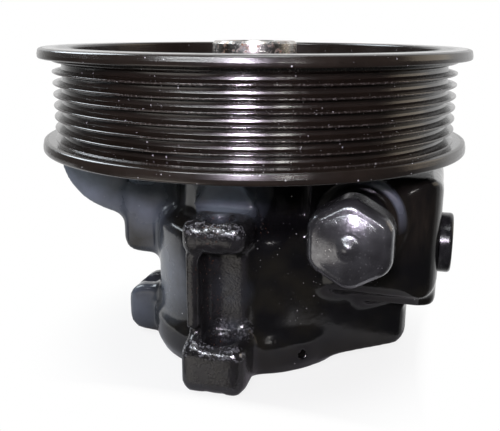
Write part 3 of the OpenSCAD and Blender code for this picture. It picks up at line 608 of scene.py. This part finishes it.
def pulleyProfile():
    s = pulleySize
    floor = s["ribTip"] - s["grooveDepth"]
    half = (s["pitch"] - s["tipFlat"]) / 2
    profile = [(s["hub"], s["bottom"], 0)]
    profile += flangeProfile(s["bottom"], s["lowerStraight"], s["firstGroove"])
    profile.append((s["ribTip"], s["firstGroove"], s["lowerFoot"]))
    for i in range(s["grooves"]):
        middle = s["firstGroove"] + (i + 0.5) * s["pitch"]
        profile += [
            (s["ribTip"], middle - half, s["tipRound"]),
            (floor + s["floorDip"], middle - s["floorHalf"], s["floorRound"]),
            (floor - s["floorDip"], middle, s["floorBend"]),
            (floor + s["floorDip"], middle + s["floorHalf"], s["floorRound"]),
            (s["ribTip"], middle + half, s["tipRound"]),
        ]
    underside = s["top"] - s["upperFlange"]
    profile.append((s["ribTip"], underside, s["upperFoot"]))
    profile += flangeProfile(underside, s["upperStraight"], s["top"])
    floorTop = s["bottom"] + s["web"]
    profile += [
        (s["bowl"], s["top"], s["rimRound"]), (s["bowl"], floorTop, s["bowlFillet"]), (s["hub"], floorTop, 0),
    ]
    return roundCorners(profile)


def holeCutter():
    # flared at both faces of the web, and longer than the web is thick
    s = pulleySize
    wide = s["holeRadius"] + s["holeFlare"]
    bottom, top, past = s["bottom"], s["bottom"] + s["web"], 2
    return lathe("holeCutter", [
        (0, bottom - past), (wide + past, bottom - past), (wide, bottom), (s["holeRadius"], bottom + s["holeFlare"]),
        (s["holeRadius"], top - s["holeFlare"]), (wide, top), (wide + past, top + past), (0, top + past),
    ], s["holeTurns"], False)


def beltPulley():
    s = pulleySize
    pulley = lathe("beltPulley", pulleyProfile(), s["turns"])
    cutter = holeCutter()
    for i in range(s["holes"]):
        a = 2 * math.pi * i / s["holes"]
        cutter.location = (s["holeDistance"] * math.cos(a) * mm, s["holeDistance"] * math.sin(a) * mm, 0)
        cut = pulley.modifiers.new("hole", "BOOLEAN")
        cut.operation = "DIFFERENCE"
        cut.solver = "MANIFOLD"
        cut.object = cutter
        bpy.context.view_layer.update()
        applyModifiers(pulley)
    bpy.data.objects.remove(cutter)
    pulley.data.materials.clear()
    pulley.data.materials.append(coatedSteel())
    evenNormals(pulley)
    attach(pulley, "shaft_group")
    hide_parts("pulley")


beltPulley()
print("belt pulley done")


# press-on hub: bare turned steel with rust specks

hubLow, hubHigh = nodeBox("pulley_hub")
hubSize = {
    "inner": 8.5, "outer": hubHigh[0], "bottom": hubLow[2], "top": hubHigh[2],
    "chamfer": 0.8, "edge": 0.25, "turns": 144,
}
steelLook = {
    "steel": (0.64, 0.63, 0.61), "rust": (0.2, 0.075, 0.025), "stain": (0.24, 0.19, 0.15),
    "rough": (0.26, 0.75), "pitDepth": 0.08, "lineDepth": 0.03,
}


def turnedSteel():
    material, tree, shader = newMaterial("turnedSteel")
    stain = spread(tree, grain(tree, 5, 5.0, 0.65), 0.48, 0.66)
    rust = spread(tree, grain(tree, 1.6, 5.0, 0.7), 0.56, 0.66)
    colour = blendColour(tree, stain, steelLook["steel"], steelLook["stain"])
    colour = blendColour(tree, rust, colour, steelLook["rust"])
    plug(tree, shader.inputs["Base Color"], colour)
    plug(tree, shader.inputs["Metallic"], sums(tree, "SUBTRACT", 1.0, rust))
    plug(tree, shader.inputs["Roughness"], spread(tree, rust, 0, 1, *steelLook["rough"]))
    lines = grain(tree, 0.3, 2.0, 0.5, (0.03, 0.03, 1))
    pits = relief(tree, grain(tree, 1.2, 4.0, 0.65), steelLook["pitDepth"])
    plug(tree, shader.inputs["Normal"], relief(tree, lines, steelLook["lineDepth"], pits))
    return material


def pressHub():
    s = hubSize
    hub = lathe("pressHub", roundCorners([
        (s["inner"], s["bottom"], s["edge"]), (s["outer"], s["bottom"], s["edge"]),
        (s["outer"], s["top"] - s["chamfer"], s["edge"]), (s["outer"] - s["chamfer"], s["top"], s["edge"]),
        (s["inner"] + s["chamfer"], s["top"], s["edge"]), (s["inner"], s["top"] - s["chamfer"], s["edge"]),
    ]), s["turns"])
    hub.data.materials.append(turnedSteel())
    evenNormals(hub)
    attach(hub, "shaft_group")
    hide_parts("pulley_hub")


pressHub()
print("hub done")


# valve plug: domed hexagon head with a raised pip

plugLow, plugHigh = nodeBox("valve_plug")
pipHeight = 1.3
plugSize = {
    "axisX": (plugLow[0] + plugHigh[0]) / 2, "axisZ": (plugLow[2] + plugHigh[2]) / 2,
    "front": plugLow[1] + pipHeight, "boss": -26.0, "end": plugHigh[1], "sides": 192,
    # head: across flats, rounding of the corners, rise of the dome, rounded shoulder round it
    "hexLength": 13.5, "flats": 24.4, "corner": 6.2, "dome": 3.2, "shoulder": 3.0, "shoulderFall": 1.25,
    "squaring": 1.3, "backEdge": [(1.2, 1.0), (0.5, 0.985), (0.0, 0.94)],   # distance to the back, scale
    "pipRadius": 4.4, "pipHeight": pipHeight, "pipRings": 16, "domeRings": 24, "shoulderRings": 8,
    # shank
    "neck": 9.2, "neckFillet": 0.8, "neckGap": 0.4, "thread": 9.4, "endChamfer": 0.8, "bore": 4.0, "boreDepth": 8.0,
    "closing": (0.02, 0.05),   # small rings at the middle of the head and of the bore
}
plugCoat = {
    "coat": (0.19, 0.195, 0.205), "dark": (0.1, 0.1, 0.106), "dust": (0.85, 0.85, 0.87), "dustDots": (0.8, 0.14),
    "metal": 0.85, "rough": (0.16, 0.28), "specular": 0.8, "bumpDepth": 0.03,
}


def coatedPlug():
    material, tree, shader = newMaterial("coatedPlug")
    tone = spread(tree, grain(tree, 6, 4.0), 0.35, 0.65)
    colour = blendColour(tree, tone, plugCoat["coat"], plugCoat["dark"])
    colour = blendColour(tree, dustDots(tree, *plugCoat["dustDots"]), colour, plugCoat["dust"])
    plug(tree, shader.inputs["Base Color"], colour)
    rough = spread(tree, grain(tree, 1.5, 4.0), 0.3, 0.7, *plugCoat["rough"])
    plug(tree, shader.inputs["Roughness"], rough)
    shader.inputs["Metallic"].default_value = plugCoat["metal"]
    shader.inputs["Specular IOR Level"].default_value = plugCoat["specular"]
    plug(tree, shader.inputs["Normal"], relief(tree, grain(tree, 0.45, 1.0), plugCoat["bumpDepth"]))
    return material


def hexRadius(angle, flats, corner):
    # hexagon with rounded corners, flats facing left and right
    a = (angle + math.pi / 6) % (math.pi / 3) - math.pi / 6
    flat = flats / 2 / math.cos(a)
    centre = (flats - 2 * corner) / math.sqrt(3)
    b = math.pi / 6 - abs(a)
    bend = centre * math.cos(b) + math.sqrt(max(corner ** 2 - (centre * math.sin(b)) ** 2, 0))
    touch = abs(flat * math.sin(a)) > centre / 2
    return bend if touch else flat


def plugRings():
    # each ring is its share of the hexagon, its radius in mm and its depth behind the dome's top
    s = plugSize
    half = s["flats"] / 2
    middle, boreMiddle = s["closing"]
    pipShare = s["pipRadius"] / half
    pipFoot = s["dome"] * pipShare ** 2
    rings = []
    for i in range(s["pipRings"] + 1):
        t = i / s["pipRings"]
        rise = (1 + math.cos(math.pi * t)) / 2
        rings.append((0, s["pipRadius"] * t + middle, pipFoot - (s["pipHeight"] + pipFoot) * rise))
    inset = 1 - s["shoulder"] / half
    for i in range(1, s["domeRings"] + 1):
        t = pipShare + (inset - pipShare) * i / s["domeRings"]
        share = ((t - pipShare) / (1 - pipShare)) ** s["squaring"]
        rings.append((share, t * half, s["dome"] * t * t))
    shoulderTop = s["dome"] * inset ** 2
    for i in range(1, s["shoulderRings"] + 1):
        a = math.pi / 2 * i / s["shoulderRings"]
        fall = s["shoulder"] * s["shoulderFall"] * (1 - math.cos(a))
        rings.append((1, (inset + (1 - inset) * math.sin(a)) * half, shoulderTop + fall))
    back = s["hexLength"]
    rings += [(1, scale * half, back - gap) for gap, scale in s["backEdge"]]
    boss, end = s["boss"] - s["front"], s["end"] - s["front"]
    boreEnd = end - s["boreDepth"]
    shank = [
        (s["neck"] + s["neckFillet"], back), (s["neck"], back + s["neckFillet"]), (s["neck"], boss - s["neckGap"]),
        (s["thread"], boss), (s["thread"], end - s["endChamfer"]), (s["thread"] - s["endChamfer"], end),
        (s["bore"], end), (s["bore"], boreEnd), (boreMiddle, boreEnd),
    ]
    return rings + [(0, radius, depth) for radius, depth in shank]


def hexPlug():
    s = plugSize
    n = s["sides"]
    rings = plugRings()
    verts = []
    for share, radius, depth in rings:
        for k in range(n):
            a = 2 * math.pi * k / n
            hexScale = hexRadius(a, s["flats"], s["corner"]) / (s["flats"] / 2)
            r = radius * (1 - share + share * hexScale)
            x, z = s["axisX"] + r * math.cos(a), s["axisZ"] + r * math.sin(a)
            verts.append((x * mm, (s["front"] + depth) * mm, z * mm))
    faces = []
    for i in range(len(rings) - 1):
        for k in range(n):
            j = (k + 1) % n
            faces.append((i * n + k, i * n + j, (i + 1) * n + j, (i + 1) * n + k))
    faces += [tuple(range(n)), tuple(range((len(rings) - 1) * n, len(rings) * n))]
    head = newPiece("hexPlug", verts, faces)
    faceOutwards(head)
    head.data.materials.append(coatedPlug())
    evenNormals(head)
    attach(head, "housing")
    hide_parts("valve_plug")


hexPlug()
print("valve plug done")


# finishes of the pieces that keep their own solids

capLook = {"black": (0.008, 0.008, 0.009), "paler": (0.016, 0.016, 0.017), "rough": (0.12, 0.26), "bumpDepth": 0.03}
rubberLook = {"black": (0.02, 0.02, 0.021), "paler": (0.03, 0.03, 0.03), "rough": (0.5, 0.7), "bumpDepth": 0.02}
groundLook = {
    "steel": (0.5, 0.51, 0.53), "steelRough": 0.3, "bronze": (0.5, 0.36, 0.17), "bronzeRough": 0.35,
    "darker": 0.8, "roughSpread": (0.7, 1.3), "bumpDepth": 0.015,
}


def glossCap():
    material, tree, shader = newMaterial("glossCap")
    tone = spread(tree, grain(tree, 4, 3.0), 0.35, 0.65)
    plug(tree, shader.inputs["Base Color"], blendColour(tree, tone, capLook["black"], capLook["paler"]))
    plug(tree, shader.inputs["Roughness"], spread(tree, grain(tree, 2, 3.0), 0.3, 0.7, *capLook["rough"]))
    plug(tree, shader.inputs["Normal"], relief(tree, grain(tree, 0.8, 3.0), capLook["bumpDepth"]))
    return material


def groundSteel(name, colour, rough):
    material, tree, shader = newMaterial(name)
    tone = spread(tree, grain(tree, 4, 3.0), 0.35, 0.65)
    darker = [groundLook["darker"] * c for c in colour]
    plug(tree, shader.inputs["Base Color"], blendColour(tree, tone, colour, darker))
    shader.inputs["Metallic"].default_value = 1.0
    low, high = [rough * share for share in groundLook["roughSpread"]]
    plug(tree, shader.inputs["Roughness"], spread(tree, grain(tree, 1.2, 4.0), 0.3, 0.7, low, high))
    marks = grain(tree, 0.35, 2.0, 0.5, (1, 1, 0.1))
    plug(tree, shader.inputs["Normal"], relief(tree, marks, groundLook["bumpDepth"]))
    return material


def sealRubber():
    material, tree, shader = newMaterial("sealRubber")
    tone = spread(tree, grain(tree, 3, 3.0), 0.35, 0.65)
    plug(tree, shader.inputs["Base Color"], blendColour(tree, tone, rubberLook["black"], rubberLook["paler"]))
    plug(tree, shader.inputs["Roughness"], spread(tree, grain(tree, 1, 3.0), 0.3, 0.7, *rubberLook["rough"]))
    plug(tree, shader.inputs["Normal"], relief(tree, grain(tree, 0.4, 2.0), rubberLook["bumpDepth"]))
    return material


slotFinish = {
    "inner_steel": groundSteel("groundSteel", groundLook["steel"], groundLook["steelRough"]),
    "bronze": groundSteel("bearingBronze", groundLook["bronze"], groundLook["bronzeRough"]),
    "seal_rubber": sealRubber(),
    "plug_plastic": glossCap(),
}
for part in frame["record"]["subparts"]:
    finish = slotFinish.get(part["material_slot"])
    if finish:
        mesh = nodes[part["node"]].data
        mesh.materials.clear()
        mesh.materials.append(finish)
print("finishes done")


# springs of the sliding valves, each copied into its own object on the body that carries it

springWork = {
    "flowSpring": {"node": "flow_valve_spring", "body": "housing", "joint": "spool_slide"},
    "reliefSpring": {"node": "relief_spring", "body": "spool", "joint": "relief_slide"},
}


def shorteningSprings():
    for name, work in springWork.items():
        spring = bpy.data.objects.new(name, nodes[work["node"]].data.copy())
        bpy.context.scene.collection.objects.link(spring)
        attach(spring, work["body"])
        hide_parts(work["node"])
        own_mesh(spring)


shorteningSprings()
print("springs done")


# floor, light and camera

floorLook = {
    "colour": (0.45, 0.45, 0.45), "drop": 0.0003, "left": -0.4, "right": 0.066, "front": -0.055, "back": 3.0,
    "nearGlow": 0.84, "shadowReach": (0.045, 0.085), "mirrorReach": (0.055, 0.1),
    "rightFade": 0.03, "frontFade": 0.03,
}


def paleFloor():
    # white to the camera, grey in the shadow under the pump
    s = floorLook
    corners = [(s["left"], s["front"]), (s["right"], s["front"]), (s["right"], s["back"]), (s["left"], s["back"])]
    floor = newPiece("floor", [(x, y, -s["drop"]) for x, y in corners], [(0, 1, 2, 3)], False)
    material = bpy.data.materials.new("paleFloor")
    material.use_nodes = True
    tree = material.node_tree
    tree.nodes.clear()
    output = tree.nodes.new("ShaderNodeOutputMaterial")
    paper = tree.nodes.new("ShaderNodeBsdfDiffuse")
    paper.inputs["Color"].default_value = (*s["colour"], 1)
    glow = tree.nodes.new("ShaderNodeEmission")
    glow.inputs["Strength"].default_value = 1.0
    ray = tree.nodes.new("ShaderNodeLightPath")
    mix = tree.nodes.new("ShaderNodeMixShader")
    away = axisRadius(tree)
    split = tree.nodes.new("ShaderNodeSeparateXYZ")
    plug(tree, split.inputs[0], place(tree))
    rightEdge = spread(tree, split.outputs["X"], s["right"] - s["rightFade"], s["right"])
    frontEdge = spread(tree, split.outputs["Y"], s["front"] + s["frontFade"], s["front"])
    farther = spread(tree, away, *s["shadowReach"], s["nearGlow"], 1.0)
    for fade in (rightEdge, frontEdge, farther):
        fade.node.interpolation_type = "SMOOTHSTEP"
    white = sums(tree, "MAXIMUM", farther, sums(tree, "MAXIMUM", rightEdge, frontEdge))
    seenGlow = sums(tree, "MULTIPLY", ray.outputs["Is Camera Ray"], white)
    mirrored = sums(tree, "MAXIMUM", ray.outputs["Is Glossy Ray"], ray.outputs["Is Transmission Ray"])
    mirrorGlow = sums(tree, "MULTIPLY", mirrored, spread(tree, away, *s["mirrorReach"]))
    tree.links.new(sums(tree, "MAXIMUM", seenGlow, mirrorGlow), mix.inputs[0])
    tree.links.new(paper.outputs[0], mix.inputs[1])
    tree.links.new(glow.outputs[0], mix.inputs[2])
    tree.links.new(mix.outputs[0], output.inputs[0])
    floor.data.materials.append(material)


lampSettings = {
    "flash": {
        "place": (0.05, -0.3, 0.165), "aim": (0, 0, 0.06), "size": (0.035, 0.025), "power": 0.72,
        "colour": (0.94, 0.83, 1), "shape": "RECTANGLE",
    },
    "frontBox": {
        "place": (-0.1, -0.55, 0.37), "aim": (0, 0, 0.05), "size": (0.42, 0.1), "power": 1.7,
        "colour": (0.95, 0.98, 1), "shape": "RECTANGLE",
    },
    "rightLamp": {
        "place": (0.2, -0.36, 0.18), "aim": (0.03, 0, 0.05), "size": (0.03, 0.03), "power": 0.12,
        "colour": (1, 0.99, 0.96), "shape": "RECTANGLE",
    },
    "ceiling": {
        "place": (0.05, -0.15, 0.75), "aim": (0, 0, 0.06), "size": (0.3, 0.3), "power": 2.4,
        "colour": (0.95, 0.98, 1), "shape": "RECTANGLE",
    },
    "leftCard": {
        "place": (-0.42, 0.02, 0.38), "aim": (-0.04, 0, 0.05), "size": (0.3, 0.3), "power": 2.7,
        "colour": (0.86, 0.94, 1), "shape": "RECTANGLE",
    },
    "rightCard": {
        "place": (0.7, 0.25, 0.3), "aim": (0, 0, 0.06), "size": (0.4, 0.4), "power": 0.5,
        "colour": (1, 0.84, 0.64), "shape": "RECTANGLE",
    },
    "lowCard": {
        "place": (-0.2, -0.34, -0.13), "aim": (0, 0, 0.03), "size": (0.32, 0.2), "power": 0.2,
        "colour": (1, 0.95, 0.88), "shape": "ELLIPSE",
    },
}


def lamps():
    for name, s in lampSettings.items():
        data = bpy.data.lights.new(name, "AREA")
        data.shape = s["shape"]
        data.size, data.size_y = s["size"]
        data.energy = s["power"]
        data.color = s["colour"]
        lamp = bpy.data.objects.new(name, data)
        lamp.location = s["place"]
        lamp.rotation_euler = (Vector(s["aim"]) - Vector(s["place"])).to_track_quat("-Z", "Y").to_euler()
        bpy.context.scene.collection.objects.link(lamp)


worldLook = {"front": 0.05, "back": 0.8, "start": 0.2, "end": 0.8, "mirrorStart": 0.35, "mirrorEnd": 0.7}


def whiteRoom():
    # bright behind the pump, dim in front of it, plain white where the camera looks past it
    world = bpy.data.worlds.new("whiteRoom")
    world.use_nodes = True
    tree = world.node_tree
    tree.nodes.clear()
    output = tree.nodes.new("ShaderNodeOutputWorld")
    split = tree.nodes.new("ShaderNodeSeparateXYZ")
    tree.links.new(tree.nodes.new("ShaderNodeTexCoord").outputs["Generated"], split.inputs[0])
    s = worldLook
    level = spread(tree, split.outputs["Y"], s["start"], s["end"], s["front"], s["back"])
    ray = tree.nodes.new("ShaderNodeLightPath")
    mirrored = sums(tree, "MAXIMUM", ray.outputs["Is Glossy Ray"], ray.outputs["Is Transmission Ray"])
    behind = spread(tree, split.outputs["Y"], s["mirrorStart"], s["mirrorEnd"])
    seen = sums(tree, "MAXIMUM", ray.outputs["Is Camera Ray"], sums(tree, "MULTIPLY", mirrored, behind))
    room = tree.nodes.new("ShaderNodeBackground")
    room.inputs["Color"].default_value = (1, 1, 1, 1)
    tree.links.new(sums(tree, "MAXIMUM", level, seen), room.inputs["Strength"])
    tree.links.new(room.outputs[0], output.inputs[0])
    bpy.context.scene.world = world


cameraSettings = {
    "place": (60.2, -232.97, 112.36), "heading": 14.8, "pitch": -15.42, "roll": 0.274, "focal": 49.63, "sensor": 36.0,
}


def photoCamera():
    s = cameraSettings
    data = bpy.data.cameras.new("photoCamera")
    data.lens = s["focal"]
    data.sensor_width = s["sensor"]
    data.clip_start = 0.01
    camera = bpy.data.objects.new("photoCamera", data)
    camera.location = [c * mm for c in s["place"]]
    camera.rotation_mode = "QUATERNION"
    turn = Euler((math.radians(90 + s["pitch"]), 0, math.radians(s["heading"]))).to_quaternion()
    camera.rotation_quaternion = turn @ Quaternion((0, 0, 1), math.radians(s["roll"]))
    bpy.context.scene.collection.objects.link(camera)
    bpy.context.scene.camera = camera


paleFloor()
lamps()
whiteRoom()
photoCamera()
bpy.context.scene.view_settings.view_transform = "Standard"
print("stage done")
